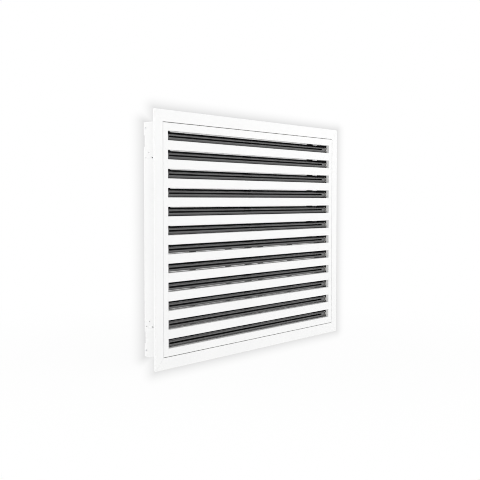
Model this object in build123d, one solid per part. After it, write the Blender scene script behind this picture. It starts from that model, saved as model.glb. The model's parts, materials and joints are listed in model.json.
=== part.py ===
from build123d import *
import os

# Louvred air grille: flanged wall frame, hinged core of louvre bars, and a slotted roller behind each slot.
# Millimetres. X runs across the grille, Y runs from the room into the wall, Z is up.
# The origin is the centre of the whole grille's box; the face is towards -Y.

# --- driving dimensions -------------------------------------------------------
face_width = 750.0
face_height = 550.0
total_depth = 52.0

flange_thickness = 2.0
rim_depth = 4.0            # the flange's outer edge, turned back to the wall
rim_thickness = 2.0
neck_inset = 24.0          # from the flange's outer edge to the outside of the neck
neck_wall = 1.25
key_nose_width = 4.5       # thick nose in the angle between flange and neck
key_nose_depth = 4.5
core_gap = 1.5

slot_count = 12
rail_height = 16.75
stile_width = 15.25
panel_depth = 8.0         # rails and stiles
panel_wall = 1.5
sill_depth = 20.0          # wall under a slot, measured from the face
head_depth = 13.4          # wall above a slot, measured from the face

slot_edge_round = 1.0      # bend along the front edges of the bars and rails
lip_thickness = 1.5
lip_drop = 1.4
lip_hook = 3.0             # how far the lip overlaps the hook at the back of its bar
lip_left_end = -309.0
lip_notch = (240.5, 272.5)
lip_notch_depth = 5.0      # how far the notch also cuts the wall in front of the lip
lip_right_end = 293.0

roller_radius = 6.6
roller_half_length = 326.5
roller_drop = 2.0          # roller axis below the middle of its slot
roller_axis_depth = 14.5   # roller axis behind the face
slit_tilt = 7.5            # degrees the slit's mouth looks upwards at rest
slit_height = 4.0
slit_ends = (-321.5, 311.0)  # from the middle of the roller
slit_flare = 7.0           # height of the slit's mouth at the back of the roller

plug_spigot_radius = 4.6
plug_spigot_length = 4.0
plug_flange_radius = 6.2
plug_flange_thickness = 1.5
plug_shoulder_radius = 5.2
plug_end_play = 0.2
journal_radius = 4.0
journal_stub = 2.0
journal_clearance = 0.05

bearing_plate_thickness = 2.0
bearing_foot_width = 8.0
bearing_plate_depth = 32.0
bush_wall = 0.95
bush_flange_radius = 6.5
bush_flange_thickness = 1.0

comb_thickness = 2.0
comb_clearance = 0.3

equaliser_thickness = 1.5
equaliser_half_height = 246.0
equaliser_slot_height = 14.0
equaliser_slot_length = 120.0
equaliser_slot_pitch = 134.0
equaliser_slots_per_row = 5
equaliser_row_lift = 2.0   # row of openings above the middle of its bar

screw_radius = 1.5
screw_head_radius = 2.8
screw_head_height = 1.8
screw_bars = (-5, -3, 0, 3, 5)  # bars with a screw at each end, counted from the middle one
head_flat = 0.35           # flat middle of a domed head, as a share of its radius
head_shoulder = (0.8, 0.7)  # a point on its crown, as shares of its radius and height
stile_screw_length = 6.0
equaliser_screw_length = 4.5

hinge_edge = 2.25          # hinge axis from the core's left edge
hinge_axis_depth = 3.0     # hinge axis behind the face
hinge_pin_radius = 1.5
hinge_clearance = 0.05
hinge_pin_reach = 10.0     # how far a pin enters the stile
hinge_bore_depth = 12.0
hinge_edge_round = 1.5

catch_height = 200.0       # catches above and below the middle
housing_width = 6.5
housing_depth = 9.8
housing_length = 36.0
housing_gap = 0.2
housing_edge_round = 1.0
magnet_width = 4.0
magnet_depth = 3.0
magnet_length = 28.0
strike_width = 4.5
strike_thickness = 1.0
strike_length = 30.0
strike_edge = 0.5
housing_screw_spacing = 24.0
housing_screw_setback = 4.0  # from the back of the housing
housing_screw_length = 4.0

fixing_height = 180.0      # groups of three fixing holes in each side of the neck
fixing_rise = 5.5
fixing_spacing = 17.0
fixing_depth = 37.0
fixing_radius = 1.6
edge_notch_heights = (198.0, 222.0)
edge_notch_depth = 2.5

key_leg = 22.0
key_thickness = 1.5
key_depths = (43.5, 50.5)
rivet_setback = 14.0
rivet_radius = 1.2
rivet_head_radius = 2.2
rivet_head_height = 0.8

gasket_thickness = rim_depth - flange_thickness
gasket_edges = (6.0, 23.0)  # from the inside of the neck

# --- derived planes and sizes -------------------------------------------------
front_y = -total_depth / 2
back_y = total_depth / 2
wall_y = front_y + rim_depth
panel_back_y = front_y + panel_depth
sill_back_y = front_y + sill_depth
head_back_y = front_y + head_depth
frame_face = neck_inset + neck_wall
opening_half_width = face_width / 2 - frame_face
opening_half_height = face_height / 2 - frame_face
core_half_width = opening_half_width - core_gap
core_half_height = opening_half_height - core_gap
slot_half_width = core_half_width - stile_width
slot_height = 2 * (core_half_height - rail_height) / (2 * slot_count - 1)
slot_pitch = 2 * slot_height
roller_y = front_y + roller_axis_depth
bearing_back_y = panel_back_y + bearing_plate_depth
equaliser_half_width = slot_half_width + bearing_foot_width
hinge_x = -core_half_width + hinge_edge
hinge_y = front_y + hinge_axis_depth
screw_x = slot_half_width + bearing_foot_width / 2 + bearing_plate_thickness / 2
screw_heights = [bar * slot_pitch for bar in screw_bars]
bush_radius = journal_radius + journal_clearance + bush_wall


def slot_middle(index):
    """Height of the middle of a slot, counted from the top."""
    return core_half_height - rail_height - slot_height / 2 - index * slot_pitch


def block(x, y, z):
    """Box between two values on each axis."""
    middle = Pos((x[0] + x[1]) / 2, (y[0] + y[1]) / 2, (z[0] + z[1]) / 2)
    return middle * Box(x[1] - x[0], y[1] - y[0], z[1] - z[0])


def rod(radius, start, end, axis):
    """Cylinder from start, a point, to a value along one axis."""
    directions = {"X": (1, 0, 0), "Y": (0, 1, 0), "Z": (0, 0, 1)}
    along = "XYZ".index(axis)
    length = end - start[along]
    plane = Plane(origin=start, z_dir=directions[axis])
    return extrude(plane * Circle(radius), length)


def prism_along_x(points, x):
    """Outline given as (y, z) points, extruded between two x values."""
    outline = make_face(Polyline([(x[0], y, z) for y, z in points], close=True))
    return extrude(outline, x[1] - x[0], dir=(1, 0, 0))


def prism_along_y(points, y):
    """Outline given as (x, z) points, extruded between two y values."""
    outline = make_face(Polyline([(x, y[0], z) for x, z in points], close=True))
    return extrude(outline, y[1] - y[0], dir=(0, 1, 0))


# --- wall frame ---------------------------------------------------------------
def frame_member(half_length, half_opening):
    """Top member of a mitred frame: flange with rim, neck wall and key nose."""
    inner = half_opening
    outer = half_opening + frame_face
    flange_back = front_y + flange_thickness
    profile = [
        (front_y, inner),
        (front_y, outer),
        (wall_y, outer),
        (wall_y, outer - rim_thickness),
        (flange_back, outer - rim_thickness),
        (flange_back, inner + key_nose_width),
        (flange_back + key_nose_depth, inner + key_nose_width),
        (flange_back + key_nose_depth, inner + neck_wall),
        (back_y, inner + neck_wall),
        (back_y, inner),
    ]
    bar = prism_along_x(profile, (-half_length, half_length))
    mitre_run = 2 * frame_face
    mitre = prism_along_y(
        [
            (-half_length, outer),
            (half_length, outer),
            (half_length - mitre_run, outer - mitre_run),
            (-half_length + mitre_run, outer - mitre_run),
        ],
        (front_y, back_y),
    )
    return bar & mitre


def key_rivet_holes(side, half_opening, across):
    """Rivet holes near both ends of a frame member, along its outward axis."""
    cuts = Part()
    key_y = front_y + sum(key_depths) / 2
    low, high = sorted((side * (half_opening - key_thickness), side * (half_opening + neck_wall)))
    for end in (-1, 1):
        place = end * (across + neck_wall - rivet_setback)
        cuts += rod(rivet_radius, (place, key_y, low), high, "Z")
    return cuts


def frame_horizontal(side):
    """Top (side 1) or bottom (side -1) frame member with its hinge hole."""
    member = frame_member(face_width / 2, opening_half_height)
    if side < 0:
        member = mirror(member, about=Plane.XY)
    low, high = sorted((side * opening_half_height, side * (opening_half_height + key_nose_width)))
    member -= rod(hinge_pin_radius, (hinge_x, hinge_y, low), high, "Z")
    return member - key_rivet_holes(side, opening_half_height, opening_half_width)


def fixing_points():
    """(y, z) of the fixing holes in a side of the neck: two triangles of three."""
    middle_y = front_y + fixing_depth
    points = []
    for height in (-fixing_height, fixing_height):
        points.append((middle_y, height + fixing_rise))
        points.append((middle_y - fixing_spacing / 2, height - fixing_rise))
        points.append((middle_y + fixing_spacing / 2, height - fixing_rise))
    return points


def frame_vertical(side):
    """Right (side 1) or left (side -1) frame member with its holes and edge notches."""
    member = Rot(0, 90, 0) * frame_member(face_height / 2, opening_half_width)
    member -= Rot(0, 90, 0) * key_rivet_holes(1, opening_half_width, opening_half_height)
    inside = opening_half_width
    outside = opening_half_width + neck_wall
    for y, z in fixing_points():
        member -= rod(fixing_radius, (inside, y, z), outside, "X")
    for way in (-1, 1):
        heights = sorted(way * h for h in edge_notch_heights)
        member -= block((inside, outside), (back_y - edge_notch_depth, back_y), heights)
    if side > 0:
        for y, z in housing_screw_points():
            member -= rod(screw_radius, (inside, y, z), outside, "X")
        return member
    return mirror(member, about=Plane.YZ)


def corner_keys():
    """Angle in each rear corner, inside the neck, that ties two frame members."""
    y = (front_y + key_depths[0], front_y + key_depths[1])
    corner_x = opening_half_width
    corner_z = opening_half_height
    outline = [
        (corner_x, corner_z),
        (corner_x, corner_z - key_leg),
        (corner_x - key_thickness, corner_z - key_leg),
        (corner_x - key_thickness, corner_z - key_thickness),
        (corner_x - key_leg, corner_z - key_thickness),
        (corner_x - key_leg, corner_z),
    ]
    key = prism_along_y(outline, y)
    middle_y = sum(y) / 2
    place_x = corner_x + neck_wall - rivet_setback
    place_z = corner_z + neck_wall - rivet_setback
    key -= rod(rivet_radius, (place_x, middle_y, corner_z - key_thickness), corner_z, "Z")
    key -= rod(rivet_radius, (corner_x - key_thickness, middle_y, place_z), corner_x, "X")
    pair = [key, mirror(key, about=Plane.YZ)]
    return pair + [mirror(piece, about=Plane.XY) for piece in pair]


def corner_rivets():
    """Two rivets for each corner key, with their domed heads outside the neck."""
    middle_y = front_y + sum(key_depths) / 2
    place_x = opening_half_width + neck_wall - rivet_setback
    place_z = opening_half_height + neck_wall - rivet_setback
    outside_x = opening_half_width + neck_wall
    outside_z = opening_half_height + neck_wall
    up = rod(rivet_radius, (place_x, middle_y, opening_half_height - key_thickness), outside_z, "Z")
    up += Pos(place_x, middle_y, outside_z) * domed_head(rivet_head_radius, rivet_head_height)
    out = rod(rivet_radius, (opening_half_width - key_thickness, middle_y, place_z), outside_x, "X")
    head = Rot(0, 90, 0) * domed_head(rivet_head_radius, rivet_head_height)
    out += Pos(outside_x, middle_y, place_z) * head
    rivets = []
    for rivet in (up, out):
        for piece in (rivet, mirror(rivet, about=Plane.YZ)):
            rivets.append(piece)
            rivets.append(mirror(piece, about=Plane.XY))
    return rivets


def domed_head(radius, height):
    """Low dome that sits on the XY plane and rises along +Z."""
    flat = head_flat * radius
    shoulder = (head_shoulder[0] * radius, 0, head_shoulder[1] * height)
    outline = Polyline([(0, 0, height), (0, 0, 0), (radius, 0, 0)])
    crown = ThreePointArc((radius, 0, 0), shoulder, (flat, 0, height))
    top = Line((flat, 0, height), (0, 0, height))
    return revolve(make_face(outline + crown + top), Axis.Z)


def wall_gasket():
    """Foam ring between the flange and the wall."""
    flange_back = front_y + flange_thickness
    inner_edge, outer_edge = gasket_edges
    ring = Rectangle(2 * (opening_half_width + outer_edge), 2 * (opening_half_height + outer_edge))
    ring -= Rectangle(2 * (opening_half_width + inner_edge), 2 * (opening_half_height + inner_edge))
    plane = Plane(origin=(0, flange_back, 0), x_dir=(1, 0, 0), z_dir=(0, 1, 0))
    return extrude(plane * ring, gasket_thickness)


def hinge_pins():
    """Upper and lower pin, fixed in the frame and turning in the core's left stile."""
    top = opening_half_height + key_nose_width
    bottom = core_half_height - hinge_pin_reach
    pin = rod(hinge_pin_radius, (hinge_x, hinge_y, bottom), top, "Z")
    return [pin, mirror(pin, about=Plane.XY)]


def housing_screw_points():
    """(y, z) of the screws that hold the magnet housings."""
    y = panel_back_y + housing_gap + housing_depth - housing_screw_setback
    half = housing_screw_spacing / 2
    return [(y, side * catch_height + step) for side in (-1, 1) for step in (-half, half)]


def magnet_housings():
    """Two moulded housings inside the right side of the neck, just behind the core's stile."""
    pieces = []
    y = (panel_back_y + housing_gap, panel_back_y + housing_gap + housing_depth)
    x = (opening_half_width - housing_width, opening_half_width)
    screw_tip = opening_half_width - housing_screw_length
    for side in (-1, 1):
        middle = side * catch_height
        body = block(x, y, (middle - housing_length / 2, middle + housing_length / 2))
        inner_edges = body.edges().filter_by(Axis.Z).group_by(Axis.X)[0]
        body = fillet(inner_edges, housing_edge_round)
        body -= magnet(side)
        for screw_y, z in housing_screw_points():
            body -= rod(screw_radius, (screw_tip, screw_y, z), opening_half_width, "X")
        pieces.append(body)
    return pieces


def magnet(side):
    """Bar magnet let into the front of its housing."""
    middle_x = opening_half_width - housing_width / 2
    front = panel_back_y + housing_gap
    x = (middle_x - magnet_width / 2, middle_x + magnet_width / 2)
    z = (side * catch_height - magnet_length / 2, side * catch_height + magnet_length / 2)
    return block(x, (front, front + magnet_depth), z)


def housing_screws():
    """Screws through the right side of the neck into the magnet housings."""
    outside = opening_half_width + neck_wall
    screw_tip = opening_half_width - housing_screw_length
    screws = []
    for y, z in housing_screw_points():
        shank = rod(screw_radius, (screw_tip, y, z), outside, "X")
        head = Rot(0, 90, 0) * domed_head(screw_head_radius, screw_head_height)
        screws.append(shank + Pos(outside, y, z) * head)
    return screws


# --- core ---------------------------------------------------------------------
def lip(lower_edge):
    """Lip behind a slot's upper edge: it hangs into view and is cut away at the notch and the ends."""
    z = (lower_edge - lip_drop, lower_edge + lip_hook)
    y = (head_back_y, head_back_y + lip_thickness)
    long_part = block((lip_left_end, lip_notch[0]), y, z)
    short_part = block((lip_notch[1], lip_right_end), y, z)
    return long_part + short_part


def notch_in_wall(lower_edge):
    """Cut in the wall above a slot and in its hook, in line with the gap in the lip."""
    y = (head_back_y - lip_notch_depth, head_back_y)
    return block(lip_notch, y, (lower_edge, lower_edge + panel_wall + lip_hook))


def louvre_bar(index):
    """White channel between two slots, open at the back; a hook on its lower wall carries the lip."""
    upper = slot_middle(index) - slot_height / 2
    lower = upper - slot_height
    hook_top = lower + panel_wall + lip_hook
    profile = [
        (sill_back_y, upper),
        (front_y, upper),
        (front_y, lower),
        (head_back_y, lower),
        (head_back_y, hook_top),
        (head_back_y - panel_wall, hook_top),
        (head_back_y - panel_wall, lower + panel_wall),
        (front_y + panel_wall, lower + panel_wall),
        (front_y + panel_wall, upper - panel_wall),
        (sill_back_y, upper - panel_wall),
    ]
    bar = prism_along_x(profile, (-slot_half_width, slot_half_width))
    front_edges = bar.edges().filter_by(Axis.X).group_by(Axis.Y)[0]
    bar = fillet(front_edges, slot_edge_round) - notch_in_wall(lower)
    return bar + lip(lower)


def core_rail(side):
    """Top rail (side 1) with the wall over the first slot and its lip, or bottom rail (-1) with its sill."""
    x = (-slot_half_width, slot_half_width)
    z = sorted((side * core_half_height, side * (core_half_height - rail_height)))
    rail = block(x, (front_y, panel_back_y), z)
    front_edges = rail.edges().filter_by(Axis.X).group_by(Axis.Y)[0].sort_by(Axis.Z)
    slot_edge = front_edges[0] if side > 0 else front_edges[-1]
    rail = fillet(slot_edge, slot_edge_round)
    if side < 0:
        return rail + block(x, (panel_back_y, sill_back_y), (z[1] - panel_wall, z[1]))
    hook_top = z[0] + panel_wall + lip_hook
    rail += block(x, (panel_back_y, head_back_y), (z[0], z[0] + panel_wall))
    rail += block(x, (head_back_y - panel_wall, head_back_y), (z[0], hook_top))
    return rail - notch_in_wall(z[0]) + lip(z[0])


def stile_screw_holes(side):
    """Pilot holes in a stile for the bearing plate's screws."""
    cuts = Part()
    for z in screw_heights:
        start = (side * screw_x, panel_back_y + bearing_plate_thickness - stile_screw_length, z)
        cuts += rod(screw_radius, start, panel_back_y, "Y")
    return cuts


def core_stile(side):
    """Right (side 1) or left (side -1) stile of the core."""
    x = sorted((side * slot_half_width, side * core_half_width))
    z = (-core_half_height, core_half_height)
    stile = block(x, (front_y, panel_back_y), z)
    if side < 0:
        front_edges = stile.edges().filter_by(Axis.Z).group_by(Axis.X)[0].group_by(Axis.Y)[0]
        stile = fillet(front_edges, hinge_edge_round)
        bore = hinge_pin_radius + hinge_clearance
        bottom = core_half_height - hinge_bore_depth
        stile -= rod(bore, (hinge_x, hinge_y, bottom), core_half_height, "Z")
        stile -= rod(bore, (hinge_x, hinge_y, -core_half_height), -bottom, "Z")
    else:
        for way in (-1, 1):
            stile -= strike_plate(way)
    return stile - stile_screw_holes(side)


def strike_plate(side):
    """Steel strip let into the back of the right stile, facing a magnet."""
    right = core_half_width - strike_edge
    z = (side * catch_height - strike_length / 2, side * catch_height + strike_length / 2)
    return block((right - strike_width, right), (panel_back_y - strike_thickness, panel_back_y), z)


def bearing_plate(side):
    """Channel behind a stile: a web with a hole for each roller, and a foot at front and back."""
    web_x = slot_half_width
    foot_x = slot_half_width + bearing_foot_width
    top = equaliser_half_height
    back = bearing_back_y
    thickness = bearing_plate_thickness
    outline = [
        (web_x, panel_back_y),
        (foot_x, panel_back_y),
        (foot_x, panel_back_y + thickness),
        (web_x + thickness, panel_back_y + thickness),
        (web_x + thickness, back - thickness),
        (foot_x, back - thickness),
        (foot_x, back),
        (web_x, back),
    ]
    face = make_face(Polyline([(x, y, -top) for x, y in outline], close=True))
    plate = extrude(face, 2 * top, dir=(0, 0, 1))
    for index in range(slot_count):
        start = (web_x, roller_y, slot_middle(index) - roller_drop)
        plate -= rod(bush_radius, start, web_x + thickness, "X")
    for z in screw_heights:
        plate -= rod(screw_radius, (screw_x, panel_back_y, z), panel_back_y + thickness, "Y")
        plate -= rod(screw_radius, (screw_x, back - thickness, z), back, "Y")
    return plate if side > 0 else mirror(plate, about=Plane.YZ)


def roller_bushes(side):
    """Flanged bush for each roller journal in one bearing plate."""
    web_x = slot_half_width
    bushes = []
    for index in range(slot_count):
        z = slot_middle(index) - roller_drop
        flange_x = web_x - bush_flange_thickness
        bush = rod(bush_radius, (flange_x, roller_y, z), web_x + bearing_plate_thickness, "X")
        bush += rod(bush_flange_radius, (flange_x, roller_y, z), web_x, "X")
        bore = journal_radius + journal_clearance
        bush -= rod(bore, (flange_x, roller_y, z), web_x + bearing_plate_thickness, "X")
        bushes.append(bush if side > 0 else mirror(bush, about=Plane.YZ))
    return bushes


def screw_along_y(x, z, seat, length):
    """Pan head screw driven towards the face, with its head behind the seat."""
    screw = rod(screw_radius, (x, seat - length, z), seat, "Y")
    head = Rot(-90, 0, 0) * domed_head(screw_head_radius, screw_head_height)
    return screw + Pos(x, seat, z) * head


def plate_screws():
    """Screws that hold both bearing plates to the stiles."""
    seat = panel_back_y + bearing_plate_thickness
    sides = (-screw_x, screw_x)
    return [screw_along_y(x, z, seat, stile_screw_length) for x in sides for z in screw_heights]


def equaliser_screws():
    """Screws that hold the equaliser plate to the bearing plates."""
    seat = bearing_back_y + equaliser_thickness
    sides = (-screw_x, screw_x)
    return [screw_along_y(x, z, seat, equaliser_screw_length) for x in sides for z in screw_heights]


def centre_comb():
    """Upright plate at mid width, from the sills to the equaliser, with a cradle behind each roller."""
    half = comb_thickness / 2
    height = (-equaliser_half_height, equaliser_half_height)
    comb = block((-half, half), (sill_back_y, bearing_back_y), height)
    for index in range(slot_count):
        start = (-half, roller_y, slot_middle(index) - roller_drop)
        comb -= rod(roller_radius + comb_clearance, start, half, "X")
    return comb


def equaliser_plate():
    """Back plate with rows of long openings behind the bars, so that nothing shows through the rollers."""
    outline = Rectangle(2 * equaliser_half_width, 2 * equaliser_half_height)
    columns = GridLocations(equaliser_slot_pitch, 0, equaliser_slots_per_row, 1)
    for index in range(slot_count - 1):
        row = slot_middle(index) - slot_pitch / 2 + equaliser_row_lift
        for column in columns:
            opening = SlotOverall(equaliser_slot_length, equaliser_slot_height)
            outline -= Pos(column.position.X, row) * opening
    for x in (-screw_x, screw_x):
        for z in screw_heights:
            outline -= Pos(x, z) * Circle(screw_radius)
    plane = Plane(origin=(0, bearing_back_y + equaliser_thickness, 0), x_dir=(1, 0, 0), z_dir=(0, -1, 0))
    return extrude(plane * outline, equaliser_thickness)


# --- rollers ------------------------------------------------------------------
def roller_blank():
    """Roller on the X axis: a rod with a long slit that flares towards the back, bored at both ends.

    The slit runs closer to the left end.
    """
    body = rod(roller_radius, (-roller_half_length, 0, 0), roller_half_length, "X")
    middle = sum(slit_ends) / 2
    front = Plane(origin=(middle, -roller_radius, 0), x_dir=(1, 0, 0), z_dir=(0, 1, 0))
    slit = extrude(front * SlotOverall(slit_ends[1] - slit_ends[0], slit_height), 2 * roller_radius)
    flare = [
        (0, -slit_height / 2),
        (0, slit_height / 2),
        (roller_radius, slit_flare / 2),
        (roller_radius, -slit_flare / 2),
    ]
    flare_ends = (slit_ends[0] + slit_height / 2, slit_ends[1] - slit_height / 2)
    body -= slit
    body -= prism_along_x(flare, flare_ends)
    for start in (-roller_half_length, roller_half_length - plug_spigot_length):
        body -= rod(plug_spigot_radius, (start, 0, 0), start + plug_spigot_length, "X")
    return Rot(-slit_tilt, 0, 0) * body


def plug_blank():
    """Right-hand end plug on the X axis: spigot, flange, thrust shoulder and journal."""
    end = roller_half_length
    flange_end = end + plug_flange_thickness
    shoulder_end = slot_half_width - bush_flange_thickness - plug_end_play
    journal_end = slot_half_width + bearing_plate_thickness + journal_stub
    plug = rod(plug_spigot_radius, (end - plug_spigot_length, 0, 0), end, "X")
    plug += rod(plug_flange_radius, (end, 0, 0), flange_end, "X")
    plug += rod(plug_shoulder_radius, (flange_end, 0, 0), shoulder_end, "X")
    plug += rod(journal_radius, (shoulder_end, 0, 0), journal_end, "X")
    return plug


def at_slot(piece, index):
    """A roller piece moved from the X axis to its place behind a slot."""
    return Pos(0, roller_y, slot_middle(index) - roller_drop) * piece


# --- write one file per node --------------------------------------------------
def save(name, shape):
    """Writes a solid, or a group of separate solids, under its node name."""
    group = Compound(children=shape) if isinstance(shape, list) else shape
    export_step(group, "parts/" + name + ".step")


os.makedirs("parts", exist_ok=True)

save("frame_top", frame_horizontal(1))
save("frame_bottom", frame_horizontal(-1))
save("frame_right", frame_vertical(1))
save("frame_left", frame_vertical(-1))
save("corner_keys", corner_keys())
save("corner_rivets", corner_rivets())
save("wall_gasket", wall_gasket())
save("hinge_pins", hinge_pins())
save("magnet_housings", magnet_housings())
save("catch_magnets", [magnet(-1), magnet(1)])
save("housing_screws", housing_screws())

save("core_top_rail", core_rail(1))
save("core_bottom_rail", core_rail(-1))
save("core_right_stile", core_stile(1))
save("core_left_stile", core_stile(-1))
save("strike_plates", [strike_plate(-1), strike_plate(1)])
save("bearing_plate_right", bearing_plate(1))
save("bearing_plate_left", bearing_plate(-1))
save("roller_bushes_right", roller_bushes(1))
save("roller_bushes_left", roller_bushes(-1))
save("plate_screws", plate_screws())
save("centre_comb", centre_comb())
save("equaliser_plate", equaliser_plate())
save("equaliser_screws", equaliser_screws())
for bar in range(slot_count - 1):
    save(f"louvre_bar_{bar + 1:02d}", louvre_bar(bar))

roller = roller_blank()
right_plug = plug_blank()
left_plug = mirror(right_plug, about=Plane.YZ)
for slot in range(slot_count):
    save(f"roller_{slot + 1:02d}", at_slot(roller, slot))
    save(f"roller_plugs_{slot + 1:02d}", [at_slot(left_plug, slot), at_slot(right_plug, slot)])
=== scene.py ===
import json
import math

import bmesh
import bpy
from mathutils import Matrix, Vector


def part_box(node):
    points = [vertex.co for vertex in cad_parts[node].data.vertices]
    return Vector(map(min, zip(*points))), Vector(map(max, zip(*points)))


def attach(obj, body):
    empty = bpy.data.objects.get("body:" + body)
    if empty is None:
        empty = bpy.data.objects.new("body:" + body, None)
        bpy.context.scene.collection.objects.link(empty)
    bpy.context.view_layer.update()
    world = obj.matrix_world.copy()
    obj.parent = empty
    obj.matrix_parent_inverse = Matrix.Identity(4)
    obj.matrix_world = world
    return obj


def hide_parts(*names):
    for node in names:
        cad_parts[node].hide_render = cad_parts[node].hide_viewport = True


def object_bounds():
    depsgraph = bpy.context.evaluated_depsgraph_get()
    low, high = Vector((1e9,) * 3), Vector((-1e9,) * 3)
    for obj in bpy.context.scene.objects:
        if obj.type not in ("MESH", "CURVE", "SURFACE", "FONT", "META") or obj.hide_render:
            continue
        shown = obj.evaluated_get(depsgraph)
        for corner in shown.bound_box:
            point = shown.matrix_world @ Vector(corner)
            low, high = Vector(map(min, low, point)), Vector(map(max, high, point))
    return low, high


# Louvred air grille. Metres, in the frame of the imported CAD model: the face looks towards -Y, Z is up.

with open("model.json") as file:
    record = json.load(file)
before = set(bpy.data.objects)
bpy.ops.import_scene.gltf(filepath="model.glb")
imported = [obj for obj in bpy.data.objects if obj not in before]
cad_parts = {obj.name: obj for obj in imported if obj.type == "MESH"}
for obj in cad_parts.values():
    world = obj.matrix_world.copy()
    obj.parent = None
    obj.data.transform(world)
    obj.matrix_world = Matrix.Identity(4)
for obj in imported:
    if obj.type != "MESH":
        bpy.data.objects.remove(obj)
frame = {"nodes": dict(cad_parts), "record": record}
cad_low, cad_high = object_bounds()
MM = 0.001


# --- node helpers -------------------------------------------------------------
def add(tree, kind, inputs=None, **settings):
    """New node with its settings and the starting values of its inputs."""
    made = tree.nodes.new(kind)
    for key, value in settings.items():
        setattr(made, key, value)
    for key, value in (inputs or {}).items():
        if isinstance(value, bpy.types.NodeSocket):
            tree.links.new(value, made.inputs[key])
        else:
            made.inputs[key].default_value = value
    return made


def maths(tree, operation, a, b=0.0, clamp=False):
    """Result of one operation on two numbers."""
    return add(tree, "ShaderNodeMath", {0: a, 1: b}, operation=operation, use_clamp=clamp).outputs[0]


def mix_colour(tree, share, a, b):
    """Colour a at share 0 and b at share 1."""
    made = add(tree, "ShaderNodeMix", {0: share}, data_type="RGBA")
    for index, value in ((6, a), (7, b)):
        if isinstance(value, bpy.types.NodeSocket):
            tree.links.new(value, made.inputs[index])
        else:
            made.inputs[index].default_value = (*value, 1.0)
    return made.outputs[2]


def between(tree, value, low, high, out_low=0.0, out_high=1.0):
    """Value scaled from one range to another and clamped."""
    inputs = {"Value": value, "From Min": low, "From Max": high, "To Min": out_low, "To Max": out_high}
    return add(tree, "ShaderNodeMapRange", inputs).outputs[0]


def place(tree, stretch=(1.0, 1.0, 1.0)):
    """Coordinates in metres that stay with the piece, with an optional stretch."""
    coordinates = add(tree, "ShaderNodeTexCoord").outputs["Object"]
    return add(tree, "ShaderNodeMapping", {"Vector": coordinates, "Scale": stretch}).outputs[0]


def noise(tree, size, detail=2.0, stretch=(1.0, 1.0, 1.0)):
    """Noise whose features are about the given size in metres."""
    inputs = {"Vector": place(tree, stretch), "Scale": 1.0 / size, "Detail": detail}
    return add(tree, "ShaderNodeTexNoise", inputs).outputs["Fac"]


def bump(tree, height, distance, strength, normal=None):
    """Normal of a surface raised by up to distance metres where height is 1."""
    inputs = {"Height": height, "Distance": distance, "Strength": strength}
    if normal is not None:
        inputs["Normal"] = normal
    return add(tree, "ShaderNodeBump", inputs).outputs[0]


EDGE_DOT = 0.86     # agreement of rounded and true normal at which the edge mask is full
EDGE_SAMPLES = 4
GAP_SAMPLES = 8


def edges(tree, radius):
    """(rounded normal, mask that is 1 on sharp edges)."""
    rounded = add(tree, "ShaderNodeBevel", {"Radius": radius}, samples=EDGE_SAMPLES).outputs[0]
    true = add(tree, "ShaderNodeNewGeometry").outputs["Normal"]
    dot = add(tree, "ShaderNodeVectorMath", {0: rounded, 1: true}, operation="DOT_PRODUCT").outputs["Value"]
    return rounded, between(tree, dot, 1.0, EDGE_DOT)


def openness(tree, reach, low, high):
    """0 deep in a narrow gap, 1 where nothing stands within reach."""
    seen = add(tree, "ShaderNodeAmbientOcclusion", {"Distance": reach}, samples=GAP_SAMPLES).outputs["AO"]
    return between(tree, seen, low, high)


def axis_part(tree, vector, axis):
    """One component of a vector."""
    return add(tree, "ShaderNodeSeparateXYZ", {0: vector}).outputs[axis]


def new_material(name):
    """(material, its node tree, its main shader)."""
    material = bpy.data.materials.new(name)
    material.use_nodes = True
    tree = material.node_tree
    return material, tree, tree.nodes["Principled BSDF"]


def feed(tree, shader, **inputs):
    """Links or sets a shader's inputs; an underscore in a name stands for a space."""
    for key, value in inputs.items():
        socket = shader.inputs[key.replace("_", " ")]
        if isinstance(value, bpy.types.NodeSocket):
            tree.links.new(value, socket)
        else:
            socket.default_value = value


# --- materials ----------------------------------------------------------------
SLOT_COUNT = 12
SLOT_ROWS = 463.0 * MM         # from the top of the first slot to the bottom of the last
SLOT_PITCH = SLOT_ROWS / (SLOT_COUNT - 0.5)  # bars and slots are equally high
ROLLER_RADIUS = 6.6 * MM
ROLLER_SKIN = 0.1 * MM         # outside this depth the roller is satin
ROLLER_CORE = 1.6 * MM         # inside this depth, on the faces of the slit, painted shade makes the roller near black
ROLLER_DROP = 2.0 * MM         # axis below the middle of its slot
ROLLER_AXIS_DEPTH = 14.5 * MM  # axis behind the face
SPANGLE = 7.0 * MM             # size of a zinc crystal
FOAM_CELL = 0.9 * MM
SHADE_REACH = 9.0 * MM         # neighbours within this distance set the painted shade on the roller's top


def powder_coat(name, light, dark, worn, roughness, peel_size, peel_depth, sheen=0.42):
    """Baked powder: orange peel, slow drift in tone, coat worn thin here and there along the edges."""
    material, tree, shader = new_material(name)
    drift = between(tree, noise(tree, 0.16, 3.0), 0.3, 0.7)
    tone = mix_colour(tree, drift, light, dark)
    rounded, edge = edges(tree, 0.5 * MM)
    broken = between(tree, noise(tree, 3.0 * MM, 3.0), 0.42, 0.62)
    thin = maths(tree, "MULTIPLY", edge, maths(tree, "MULTIPLY", broken, 0.55))
    tone = mix_colour(tree, thin, tone, worn)
    grain = noise(tree, 0.35 * MM, 1.0)
    tone = mix_colour(tree, maths(tree, "MULTIPLY", grain, 0.05), tone, dark)
    matt = between(tree, noise(tree, 12.0 * MM, 3.0), 0.3, 0.7, roughness - 0.05, roughness + 0.07)
    matt = maths(tree, "ADD", matt, maths(tree, "MULTIPLY", thin, 0.2), clamp=True)
    peel = bump(tree, noise(tree, peel_size, 2.0), peel_depth, 0.35, rounded)
    fine = bump(tree, grain, 0.01 * MM, 0.4, peel)
    feed(tree, shader, Base_Color=tone, Roughness=matt, Normal=fine, Specular_IOR_Level=sheen)
    return material


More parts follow.
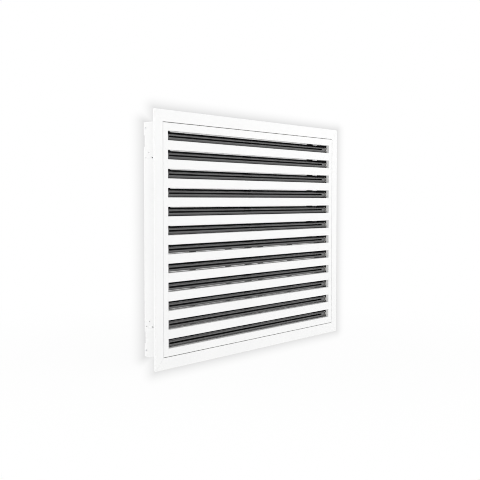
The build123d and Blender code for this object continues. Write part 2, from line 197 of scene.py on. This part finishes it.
def from_roller_axis(tree):
    """Distance from the axis of the nearest roller."""
    parts = add(tree, "ShaderNodeSeparateXYZ", {0: add(tree, "ShaderNodeTexCoord").outputs["Object"]}).outputs
    height = maths(tree, "ADD", parts["Z"], ROLLER_DROP - SLOT_PITCH / 2)
    half_pitch = {0: height, 1: SLOT_PITCH / 2, 2: -SLOT_PITCH / 2}
    nearest = add(tree, "ShaderNodeMath", half_pitch, operation="WRAP")
    depth = maths(tree, "SUBTRACT", parts["Y"], cad_low.y + ROLLER_AXIS_DEPTH)
    rise = maths(tree, "MULTIPLY", nearest.outputs[0], nearest.outputs[0])
    return maths(tree, "SQRT", maths(tree, "ADD", maths(tree, "MULTIPLY", depth, depth), rise))


def roller_plastic():
    """Extruded plastic: draw lines, satin sheen, a little dust on top; painted shade makes it near black
    inside the slit and darkens its top where neighbours stand close.
    """
    material, tree, shader = new_material("roller_plastic")
    rounded, edge = edges(tree, 0.4 * MM)
    lines = noise(tree, 0.9 * MM, 3.0, (0.012, 1.0, 1.0))
    patches = noise(tree, 35.0 * MM, 3.0, (0.35, 1.0, 1.0))
    tone = mix_colour(tree, between(tree, patches, 0.3, 0.7), (0.118, 0.118, 0.120), (0.140, 0.140, 0.141))
    tone = mix_colour(tree, maths(tree, "MULTIPLY", lines, 0.35), tone, (0.150, 0.150, 0.150))
    tone = mix_colour(tree, maths(tree, "MULTIPLY", edge, 0.45), tone, (0.19, 0.19, 0.19))
    up = axis_part(tree, add(tree, "ShaderNodeNewGeometry").outputs["Normal"], "Z")
    specks = between(tree, noise(tree, 1.1 * MM, 4.0), 0.45, 0.75)
    dust = maths(tree, "MULTIPLY", between(tree, up, 0.6, 1.0, 0.0, 0.04), specks)
    tone = mix_colour(tree, dust, tone, (0.36, 0.35, 0.34))
    # painted shade: near-black colour and no sheen on the faces inside the slit
    outside = between(tree, from_roller_axis(tree), ROLLER_RADIUS - ROLLER_CORE, ROLLER_RADIUS - ROLLER_SKIN)
    # painted shade: up-facing parts with neighbours close by are darkened towards black
    occluded = maths(tree, "SUBTRACT", 1.0, openness(tree, SHADE_REACH, 0.3, 0.75))
    shaded = maths(tree, "MULTIPLY", occluded, between(tree, up, 0.2, 0.7, 0.0, 0.8))
    outside = maths(tree, "MULTIPLY", outside, maths(tree, "SUBTRACT", 1.0, shaded))
    # where outside is low the colour is painted shade, near black
    tone = mix_colour(tree, outside, (0.008, 0.008, 0.009), tone)
    satin = between(tree, lines, 0.3, 0.7, 0.3, 0.42)
    satin = maths(tree, "ADD", satin, maths(tree, "MULTIPLY", dust, 1.5), clamp=True)
    surface = bump(tree, lines, 0.03 * MM, 0.5, rounded)
    surface = bump(tree, noise(tree, 0.3 * MM, 2.0), 0.01 * MM, 0.5, surface)
    gloss = maths(tree, "MULTIPLY", outside, 0.5)
    feed(tree, shader, Base_Color=tone, Roughness=satin, Normal=surface, Specular_IOR_Level=gloss)
    return material


def moulded_plastic(name, colour, roughness, grain_size):
    """Injection moulding: spark-eroded grain and slightly paler edges."""
    material, tree, shader = new_material(name)
    rounded, edge = edges(tree, 0.3 * MM)
    paler = tuple(min(1.0, c * 1.25 + 0.03) for c in colour)
    cloudy = between(tree, noise(tree, 9.0 * MM, 3.0), 0.35, 0.7)
    tone = mix_colour(tree, maths(tree, "MULTIPLY", cloudy, 0.4), colour, paler)
    tone = mix_colour(tree, maths(tree, "MULTIPLY", edge, 0.6), tone, paler)
    grain = noise(tree, grain_size, 3.0)
    matt = between(tree, grain, 0.3, 0.7, roughness - 0.06, roughness + 0.1)
    surface = bump(tree, grain, 0.04 * MM, 0.5, rounded)
    feed(tree, shader, Base_Color=tone, Roughness=matt, Normal=surface)
    return material


def galvanised():
    """Hot-dip zinc on sheet: spangle cells of differing brightness, fine rolling lines, duller cut edges."""
    material, tree, shader = new_material("zinc_steel")
    rounded, edge = edges(tree, 0.25 * MM)
    cells = add(tree, "ShaderNodeTexVoronoi", {"Vector": place(tree), "Scale": 1.0 / SPANGLE})
    shade = add(tree, "ShaderNodeSeparateColor", {0: cells.outputs["Color"]}).outputs[0]
    tone = mix_colour(tree, shade, (0.52, 0.53, 0.54), (0.68, 0.69, 0.70))
    stains = between(tree, noise(tree, 30.0 * MM, 4.0), 0.5, 0.75, 0.0, 0.35)
    tone = mix_colour(tree, stains, tone, (0.47, 0.47, 0.46))
    tone = mix_colour(tree, maths(tree, "MULTIPLY", edge, 0.5), tone, (0.4, 0.4, 0.4))
    dull = between(tree, shade, 0.0, 1.0, 0.36, 0.54)
    dull = maths(tree, "ADD", dull, maths(tree, "MULTIPLY", stains, 0.4))
    lines = noise(tree, 0.5 * MM, 2.0, (1.0, 1.0, 0.02))
    surface = bump(tree, lines, 0.01 * MM, 0.4, rounded)
    surface = bump(tree, shade, 0.02 * MM, 0.3, surface)
    feed(tree, shader, Base_Color=tone, Roughness=dull, Metallic=0.85, Normal=surface)
    return material


def plated_metal(name, light, dark, roughness):
    """Zinc-plated or plain metal: fine turning marks, small stains, rubbed edges."""
    material, tree, shader = new_material(name)
    rounded, edge = edges(tree, 0.2 * MM)
    stains = between(tree, noise(tree, 1.8 * MM, 4.0), 0.4, 0.7)
    tone = mix_colour(tree, maths(tree, "MULTIPLY", stains, 0.6), light, dark)
    rubbed = tuple(min(1.0, c + 0.12) for c in light)
    tone = mix_colour(tree, maths(tree, "MULTIPLY", edge, 0.7), tone, rubbed)
    marks = noise(tree, 0.18 * MM, 2.0, (1.0, 0.08, 1.0))
    rough = maths(tree, "ADD", between(tree, marks, 0.3, 0.7, roughness - 0.05, roughness + 0.1),
                  maths(tree, "MULTIPLY", stains, 0.12))
    surface = bump(tree, marks, 0.012 * MM, 0.5, rounded)
    feed(tree, shader, Base_Color=tone, Roughness=rough, Metallic=1.0, Normal=surface)
    return material


def ferrite():
    """Sintered magnet: dark, granular, with chipped pale edges."""
    material, tree, shader = new_material("magnet_ferrite")
    rounded, edge = edges(tree, 0.3 * MM)
    grains = noise(tree, 0.25 * MM, 4.0)
    tone = mix_colour(tree, grains, (0.035, 0.034, 0.034), (0.085, 0.083, 0.082))
    chips = maths(tree, "MULTIPLY", edge, between(tree, noise(tree, 1.0 * MM, 3.0), 0.5, 0.6))
    tone = mix_colour(tree, chips, tone, (0.17, 0.165, 0.16))
    surface = bump(tree, grains, 0.05 * MM, 0.6, rounded)
    feed(tree, shader, Base_Color=tone, Roughness=between(tree, grains, 0.3, 0.7, 0.55, 0.8), Normal=surface)
    return material


def foam():
    """Closed-cell foam: open skin of small round cells, with painted shade where the relief lies deepest."""
    material, tree, shader = new_material("gasket_foam")
    grid = {"Vector": place(tree), "Scale": 1.0 / FOAM_CELL}
    cells = add(tree, "ShaderNodeTexVoronoi", grid, feature="SMOOTH_F1")
    depth = between(tree, cells.outputs["Distance"], 0.1, 0.6)
    patches = noise(tree, 14.0 * MM, 3.0)
    # painted shade: darker where the cells' relief lies deepest
    tone = mix_colour(tree, depth, (0.05, 0.05, 0.052), (0.022, 0.022, 0.023))
    tone = mix_colour(tree, maths(tree, "MULTIPLY", patches, 0.4), tone, (0.075, 0.074, 0.073))
    surface = bump(tree, maths(tree, "SUBTRACT", 1.0, depth), 0.15 * MM, 0.8)
    rough = between(tree, patches, 0.3, 0.7, 0.82, 0.97)
    feed(tree, shader, Base_Color=tone, Roughness=rough, Normal=surface, Specular_IOR_Level=0.25)
    return material


def make_materials():
    """One material for each material slot of the record."""
    return {
        "white_powder_coat": powder_coat("white_powder_coat", (0.945, 0.945, 0.942), (0.922, 0.924, 0.922),
                                         (0.80, 0.80, 0.79), 0.42, 1.3 * MM, 0.05 * MM),
        "black_sheet": powder_coat("black_sheet", (0.013, 0.013, 0.014), (0.020, 0.020, 0.021),
                                   (0.07, 0.07, 0.07), 0.66, 0.9 * MM, 0.06 * MM, 0.12),
        "roller_plastic": roller_plastic(),
        "black_plastic": moulded_plastic("black_plastic", (0.028, 0.028, 0.030), 0.48, 0.5 * MM),
        "bush_plastic": moulded_plastic("bush_plastic", (0.70, 0.69, 0.64), 0.38, 0.7 * MM),
        "zinc_steel": galvanised(),
        "rivet_aluminium": plated_metal("rivet_aluminium", (0.74, 0.75, 0.76), (0.6, 0.6, 0.61), 0.34),
        "steel_fastener": plated_metal("steel_fastener", (0.63, 0.64, 0.66), (0.46, 0.46, 0.45), 0.28),
        "magnet_ferrite": ferrite(),
        "gasket_foam": foam(),
    }


materials = make_materials()
node_slot = {row["node"]: row["material_slot"] for row in frame["record"]["subparts"]}


def dress_cad_nodes():
    """Gives every CAD node the material of its slot."""
    for name, piece in frame["nodes"].items():
        piece.data.materials.clear()
        piece.data.materials.append(materials[node_slot[name]])


dress_cad_nodes()


# --- fastener heads -----------------------------------------------------------
HEAD_RADIUS = 2.8 * MM
HEAD_HEIGHT = 1.8 * MM
SCREW_RADIUS = 1.5 * MM
THREAD_PITCH = 0.8 * MM
THREAD_DEPTH = 0.16 * MM
SCREW_TIP = 0.7               # radius of the blunt point, in shank radii
RECESS_ARM = 1.45 * MM
RECESS_WIDTH = 0.36 * MM
RECESS_DEPTH = 1.0 * MM
RECESS_FLANK = 0.22 * MM      # width of the sloping side of an arm
RECESS_END = 0.25 * MM
RECESS_TAPER = 0.45           # share of its depth that an arm loses towards its end
PLATE_SCREW_LENGTH = 6.0 * MM
EQUALISER_SCREW_LENGTH = 4.5 * MM
HOUSING_SCREW_LENGTH = 5.25 * MM
SCREW_BARS = (-5, -3, 0, 3, 5)
HOUSING_SCREW_SPACING = 24.0 * MM

RIVET_RADIUS = 1.2 * MM
RIVET_HEAD_RADIUS = 2.2 * MM
RIVET_HEAD_HEIGHT = 0.8 * MM
RIVET_LENGTH = 2.75 * MM
RIVET_TAIL = 2.4 * MM
RIVET_SETBACK = 14.0 * MM
RIVET_BULB = 1.45             # radius of the upset tail, in shank radii
RIVET_BULB_SPAN = (0.25, 0.6)  # where the bulb starts and ends, as shares of the tail
RIVET_TIP = 0.8               # radius of the tail's end, in shank radii
DIMPLE_DEPTH = 0.45 * MM
DIMPLE_RADII = (0.5 * MM, 0.66 * MM)
CRIMP_HEIGHT = 0.18 * MM      # raised ring round the dimple
CRIMP_RADIUS = 0.85 * MM
CRIMP_WIDTH = 0.2 * MM

TURN_STEPS = 48
DOME_STEPS = 16
DOME_RIM = 0.72               # height at which the dome meets the head's side, as a share of the middle
DOME_POWER = 2.6
FOOT_RISE = 0.12              # small undercut at the foot of a head, as shares of its height
FOOT_INSET = 0.08
HEAD_SPIN = 37                # degrees that each drive is turned against the one before


def smooth(value, low, high):
    """Smooth step from 0 at low to 1 at high."""
    share = min(1.0, max(0.0, (value - low) / (high - low)))
    return share * share * (3 - 2 * share)


def cross_recess(x, y):
    """Depth of a cross-shaped drive at a point of the head."""
    arms = []
    for along, across in ((x, y), (y, x)):
        inside = 1 - smooth(abs(across), RECESS_WIDTH, RECESS_WIDTH + RECESS_FLANK)
        inside *= 1 - smooth(abs(along), RECESS_ARM - RECESS_END, RECESS_ARM)
        taper = 1 - RECESS_TAPER * abs(along) / RECESS_ARM
        arms.append(inside * taper)
    return RECESS_DEPTH * max(arms)


def mandrel_dimple(x, y):
    """Depth of the hole that a blind rivet's mandrel leaves in its head."""
    far = math.hypot(x, y)
    ring = CRIMP_HEIGHT * math.exp(-((far - CRIMP_RADIUS) / CRIMP_WIDTH) ** 2)
    return DIMPLE_DEPTH * (1 - smooth(far, *DIMPLE_RADII)) - ring


def head_rings(radius, height, recess):
    """Rings of a domed head from its centre outwards, as lists of points; the head rises along +Z."""
    rings = []
    for step in range(1, DOME_STEPS + 1):
        share = step / DOME_STEPS
        dome = height * (DOME_RIM + (1 - DOME_RIM) * math.sqrt(max(0.0, 1 - share ** DOME_POWER)))
        ring = []
        for turn in range(TURN_STEPS):
            angle = 2 * math.pi * turn / TURN_STEPS
            x, y = share * radius * math.cos(angle), share * radius * math.sin(angle)
            ring.append((x, y, dome - recess(x, y)))
        rings.append(ring)
    rings.append(circle(radius, FOOT_RISE * height))
    rings.append(circle(radius - FOOT_INSET * height, 0.0))
    return rings


def circle(radius, z):
    """One level ring of points."""
    angles = [2 * math.pi * turn / TURN_STEPS for turn in range(TURN_STEPS)]
    return [(radius * math.cos(angle), radius * math.sin(angle), z) for angle in angles]


def threaded_shank(radius, length):
    """Rings down a shank with a thread's ridges and a blunt point."""
    rings = [circle(radius, 0.0)]
    z = -0.5 * THREAD_PITCH
    while z > -length + THREAD_PITCH:
        rings.append(circle(radius - THREAD_DEPTH, z))
        rings.append(circle(radius, z - 0.5 * THREAD_PITCH))
        z -= THREAD_PITCH
    rings.append(circle(radius - THREAD_DEPTH, -length + 0.5 * THREAD_PITCH))
    rings.append(circle(SCREW_TIP * radius, -length))
    return rings


def rivet_shank(radius, length, tail):
    """Rings down a rivet's shank to its upset tail."""
    bulb = RIVET_BULB * radius
    start, stop = RIVET_BULB_SPAN
    return [circle(radius, 0.0), circle(radius, -length), circle(bulb, -length - start * tail),
            circle(bulb, -length - stop * tail), circle(RIVET_TIP * radius, -length - tail)]


def turned(head, shank):
    """Vertices and faces of one fastener: head rings from the middle outwards, then shank rings."""
    rings = head + shank
    top = sum(point[2] for point in head[0]) / TURN_STEPS
    points = [(0.0, 0.0, top)] + [point for ring in rings for point in ring] + [(0.0, 0.0, shank[-1][0][2])]
    faces = []
    for turn in range(TURN_STEPS):
        after = (turn + 1) % TURN_STEPS
        faces.append((0, 1 + turn, 1 + after))
        for level in range(len(rings) - 1):
            upper, lower = 1 + level * TURN_STEPS, 1 + (level + 1) * TURN_STEPS
            faces.append((upper + turn, lower + turn, lower + after, upper + after))
        last = 1 + (len(rings) - 1) * TURN_STEPS
        faces.append((last + turn, len(points) - 1, last + after))
    return points, faces


def fasteners(name, node, body, slot, shape, places, outward):
    """One mesh with a fastener at each place, heads outward, shown instead of the CAD node."""
    points, faces = shape
    all_points, all_faces = [], []
    for index, spot in enumerate(places):
        aim = Vector(outward(spot)).to_track_quat("Z", "Y").to_matrix().to_4x4()
        spin = Matrix.Rotation(math.radians(HEAD_SPIN * index % 90), 4, "Z")
        where = Matrix.Translation(spot) @ aim @ spin
        first = len(all_points)
        all_points += [where @ Vector(point) for point in points]
        all_faces += [tuple(first + corner for corner in face) for face in faces]
    mesh = bpy.data.meshes.new(name)
    mesh.from_pydata(all_points, [], all_faces)
    mesh.polygons.foreach_set("use_smooth", [True] * len(mesh.polygons))
    mesh.materials.append(materials[slot])
    piece = bpy.data.objects.new(name, mesh)
    bpy.context.scene.collection.objects.link(piece)
    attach(piece, body)
    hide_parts(node)


def screw_shape(length):
    """Vertices and faces of a cross-head screw."""
    return turned(head_rings(HEAD_RADIUS, HEAD_HEIGHT, cross_recess), threaded_shank(SCREW_RADIUS, length))


def core_screws(node, length):
    """Screws at both ends of five bars, driven towards the face."""
    low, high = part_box(node)
    seat = high.y - HEAD_HEIGHT
    sides = (low.x + HEAD_RADIUS, high.x - HEAD_RADIUS)
    places = [Vector((x, seat, bar * SLOT_PITCH)) for x in sides for bar in SCREW_BARS]
    shape = screw_shape(length)
    fasteners(node + "_detail", node, "core", "steel_fastener", shape, places, lambda spot: (0, 1, 0))


def housing_screw_heads():
    """Two screws for each magnet housing, driven from the right side of the neck."""
    low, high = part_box("housing_screws")
    seat = high.x - HEAD_HEIGHT
    middle = (low.y + high.y) / 2
    top = high.z - HEAD_RADIUS
    heights = [side * (top - step) for side in (-1, 1) for step in (0.0, HOUSING_SCREW_SPACING)]
    places = [Vector((seat, middle, height)) for height in heights]
    shape = screw_shape(HOUSING_SCREW_LENGTH)
    fasteners("housing_screws_detail", "housing_screws", "frame", "steel_fastener", shape, places,
              lambda spot: (1, 0, 0))


def rivet_heads():
    """Two blind rivets at each rear corner of the neck."""
    low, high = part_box("corner_rivets")
    middle = (low.y + high.y) / 2
    wall_x, wall_z = high.x - RIVET_HEAD_HEIGHT, high.z - RIVET_HEAD_HEIGHT
    places = []
    for side_x in (-1, 1):
        for side_z in (-1, 1):
            places.append(Vector((side_x * (wall_x - RIVET_SETBACK), middle, side_z * wall_z)))
            places.append(Vector((side_x * wall_x, middle, side_z * (wall_z - RIVET_SETBACK))))
    head = head_rings(RIVET_HEAD_RADIUS, RIVET_HEAD_HEIGHT, mandrel_dimple)
    shape = turned(head, rivet_shank(RIVET_RADIUS, RIVET_LENGTH, RIVET_TAIL))

    def outward(spot):
        on_side = abs(abs(spot.x) - wall_x) < MM
        return (math.copysign(1, spot.x), 0, 0) if on_side else (0, 0, math.copysign(1, spot.z))

    fasteners("corner_rivets_detail", "corner_rivets", "frame", "rivet_aluminium", shape, places, outward)


core_screws("plate_screws", PLATE_SCREW_LENGTH)
core_screws("equaliser_screws", EQUALISER_SCREW_LENGTH)
housing_screw_heads()
rivet_heads()


# --- stage --------------------------------------------------------------------
SKY_LEVEL = (1.45, 0.45)    # strength of the light from the horizon and from overhead
SKY_RISE = 0.8              # upward part of the direction at which the overhead level is reached
FLOOR_RADIUS = 9.0
FLOOR_SIDES = 96
FLOOR_GAP = 0.2 * MM        # under the grille's lower edge
FLOOR_MOTTLE = 0.25
FLOOR_FADE = (0.1, 1.1)     # distance from the grille over which the floor fades into the backdrop
FLOOR_GLOW = 0.95           # share of backdrop in the floor right at the grille
BACKDROP_SHADOW_DEPTH = 0.235          # how much darker the painted shadow makes the backdrop right at the grille's outline
BACKDROP_SHADOW_REACH = (0.052, 0.030)  # how far the painted shadow reaches sideways and up or down
NECK_WIDTH = 0.702
NECK_HEIGHT = 0.502
LAMPS = {                   # direction from the grille, distance, side of the square and power
    "stripe_light": ((0.80, -0.37, 0.47), 2.6, 1.1, 7.0),
    "side_fill": ((-1.5, 0.35, 0.2), 2.4, 1.4, 5.0),
}
VIEW_AZIMUTH = math.radians(-53.95)
VIEW_ELEVATION = math.radians(2.486)
VIEW_DISTANCE = 2.208
VIEW_AIM = Vector((-0.0276, 0.0083, -0.0113))  # from the middle of the grille
VIEW_LENS = 68.69           # millimetres, as is the sensor
VIEW_SENSOR = 36.0
PIXEL_FILTER = 1.0          # pixels


def outline_distance(tree, eye, way, plane_y, width, height):
    """How far a line of sight passes from an upright rectangle's outline, in units of the painted shadow's
    reach.
    """
    to_plane = maths(tree, "SUBTRACT", plane_y, axis_part(tree, eye, "Y"))
    run = maths(tree, "DIVIDE", to_plane, axis_part(tree, way, "Y"))
    stretched = add(tree, "ShaderNodeVectorMath", {0: way, "Scale": run}, operation="SCALE").outputs[0]
    hit = add(tree, "ShaderNodeVectorMath", {0: eye, 1: stretched}, operation="ADD").outputs[0]
    parts = add(tree, "ShaderNodeSeparateXYZ", {0: hit}).outputs
    shares, squares = [], []
    for axis, size, reach in (("X", width, BACKDROP_SHADOW_REACH[0]), ("Z", height, BACKDROP_SHADOW_REACH[1])):
        beyond = maths(tree, "SUBTRACT", maths(tree, "ABSOLUTE", parts[axis]), size / 2)
        shares.append(maths(tree, "DIVIDE", beyond, reach))
        outside = maths(tree, "MAXIMUM", shares[-1], 0.0)
        squares.append(maths(tree, "MULTIPLY", outside, outside))
    outside = maths(tree, "SQRT", maths(tree, "ADD", squares[0], squares[1]))
    inside = maths(tree, "MINIMUM", maths(tree, "MAXIMUM", shares[0], shares[1]), 0.0)
    return maths(tree, "SUBTRACT", outside, inside)


def backdrop_shadow(tree, way):
    """Backdrop tone: white, with a painted soft grey shadow along the outline of the flange and of the neck.
    """
    eye = add(tree, "ShaderNodeVectorTransform", {0: (0.0, 0.0, 0.0)}, vector_type="POINT",
              convert_from="CAMERA", convert_to="WORLD").outputs[0]
    width, height = cad_high.x - cad_low.x, cad_high.z - cad_low.z
    flange = outline_distance(tree, eye, way, cad_low.y, width, height)
    neck = outline_distance(tree, eye, way, cad_high.y, NECK_WIDTH, NECK_HEIGHT)
    # painted shadow: the backdrop darkens towards the grille's outline
    near = maths(tree, "SUBTRACT", 1.0, maths(tree, "MINIMUM", flange, neck), clamp=True)
    dark = maths(tree, "MULTIPLY", maths(tree, "MULTIPLY", near, near), BACKDROP_SHADOW_DEPTH)
    return maths(tree, "SUBTRACT", 1.0, dark)


def backdrop():
    """White light from all round, weaker from overhead; the camera sees the backdrop with its painted shadow
    round the grille.
    """
    world = bpy.data.worlds.new("studio")
    bpy.context.scene.world = world
    world.use_nodes = True
    tree = world.node_tree
    light = tree.nodes["Background"]
    light.inputs["Color"].default_value = (1.0, 1.0, 1.0, 1.0)
    way = add(tree, "ShaderNodeTexCoord").outputs["Generated"]
    strength = between(tree, axis_part(tree, way, "Z"), 0.0, SKY_RISE, *SKY_LEVEL)
    tree.links.new(strength, light.inputs["Strength"])
    seen = add(tree, "ShaderNodeBackground", {"Color": backdrop_shadow(tree, way)})
    camera_ray = add(tree, "ShaderNodeLightPath").outputs["Is Camera Ray"]
    both = add(tree, "ShaderNodeMixShader", {0: camera_ray, 1: light.outputs[0], 2: seen.outputs[0]})
    tree.links.new(both.outputs[0], tree.nodes["World Output"].inputs["Surface"])


def floor_material():
    """Pale matt floor that fades into the glowing backdrop away from the grille; the glow carries the
    backdrop's painted shadow round the grille.
    """
    material, tree, shader = new_material("floor")
    mottle = noise(tree, FLOOR_MOTTLE, 3.0)
    tone = mix_colour(tree, mottle, (0.93, 0.93, 0.93), (0.96, 0.96, 0.96))
    feed(tree, shader, Base_Color=tone, Roughness=0.9, Specular_IOR_Level=0.1)
    incoming = add(tree, "ShaderNodeNewGeometry").outputs["Incoming"]
    way = add(tree, "ShaderNodeVectorMath", {0: incoming, "Scale": -1.0}, operation="SCALE").outputs[0]
    # glow in the backdrop's tone, with its painted shadow near the grille
    glow = add(tree, "ShaderNodeEmission", {"Color": backdrop_shadow(tree, way)})
    ground = place(tree, (1.0, 1.0, 0.0))
    far = add(tree, "ShaderNodeVectorMath", {0: ground}, operation="LENGTH").outputs["Value"]
    fade = {"Value": far, "From Min": FLOOR_FADE[0], "From Max": FLOOR_FADE[1], "To Min": FLOOR_GLOW}
    share = add(tree, "ShaderNodeMapRange", fade, interpolation_type="SMOOTHSTEP").outputs[0]
    both = add(tree, "ShaderNodeMixShader", {0: share, 1: shader.outputs[0], 2: glow.outputs[0]})
    tree.links.new(both.outputs[0], tree.nodes["Material Output"].inputs["Surface"])
    return material


def floor():
    """Round floor just under the grille's lower edge."""
    mesh = bpy.data.meshes.new("floor")
    shape = bmesh.new()
    bmesh.ops.create_circle(shape, cap_ends=True, segments=FLOOR_SIDES, radius=FLOOR_RADIUS)
    shape.to_mesh(mesh)
    shape.free()
    piece = bpy.data.objects.new("floor", mesh)
    piece.location.z = cad_low.z - FLOOR_GAP
    bpy.context.scene.collection.objects.link(piece)
    mesh.materials.append(floor_material())


def softbox(name, direction, distance, size, power):
    """Square area light aimed at the middle of the grille."""
    middle = (cad_low + cad_high) / 2
    lamp = bpy.data.lights.new(name, "AREA")
    lamp.size = size
    lamp.energy = power
    piece = bpy.data.objects.new(name, lamp)
    way = Vector(direction).normalized()
    piece.location = middle + way * distance
    piece.rotation_euler = way.to_track_quat("Z", "Y").to_euler()
    bpy.context.scene.collection.objects.link(piece)


def camera():
    """Camera to the left of the grille's face and slightly above its middle."""
    flat = math.cos(VIEW_ELEVATION)
    back = Vector((math.sin(VIEW_AZIMUTH) * flat, -math.cos(VIEW_AZIMUTH) * flat, math.sin(VIEW_ELEVATION)))
    lens = bpy.data.cameras.new("camera")
    lens.lens = VIEW_LENS
    lens.sensor_width = VIEW_SENSOR
    piece = bpy.data.objects.new("camera", lens)
    piece.location = (cad_low + cad_high) / 2 + VIEW_AIM + back * VIEW_DISTANCE
    piece.rotation_euler = back.to_track_quat("Z", "Y").to_euler()
    bpy.context.scene.collection.objects.link(piece)
    bpy.context.scene.camera = piece


backdrop()
floor()
for lamp_name, setting in LAMPS.items():
    softbox(lamp_name, *setting)
camera()
bpy.context.scene.view_settings.view_transform = "Standard"
bpy.context.scene.cycles.filter_width = PIXEL_FILTER
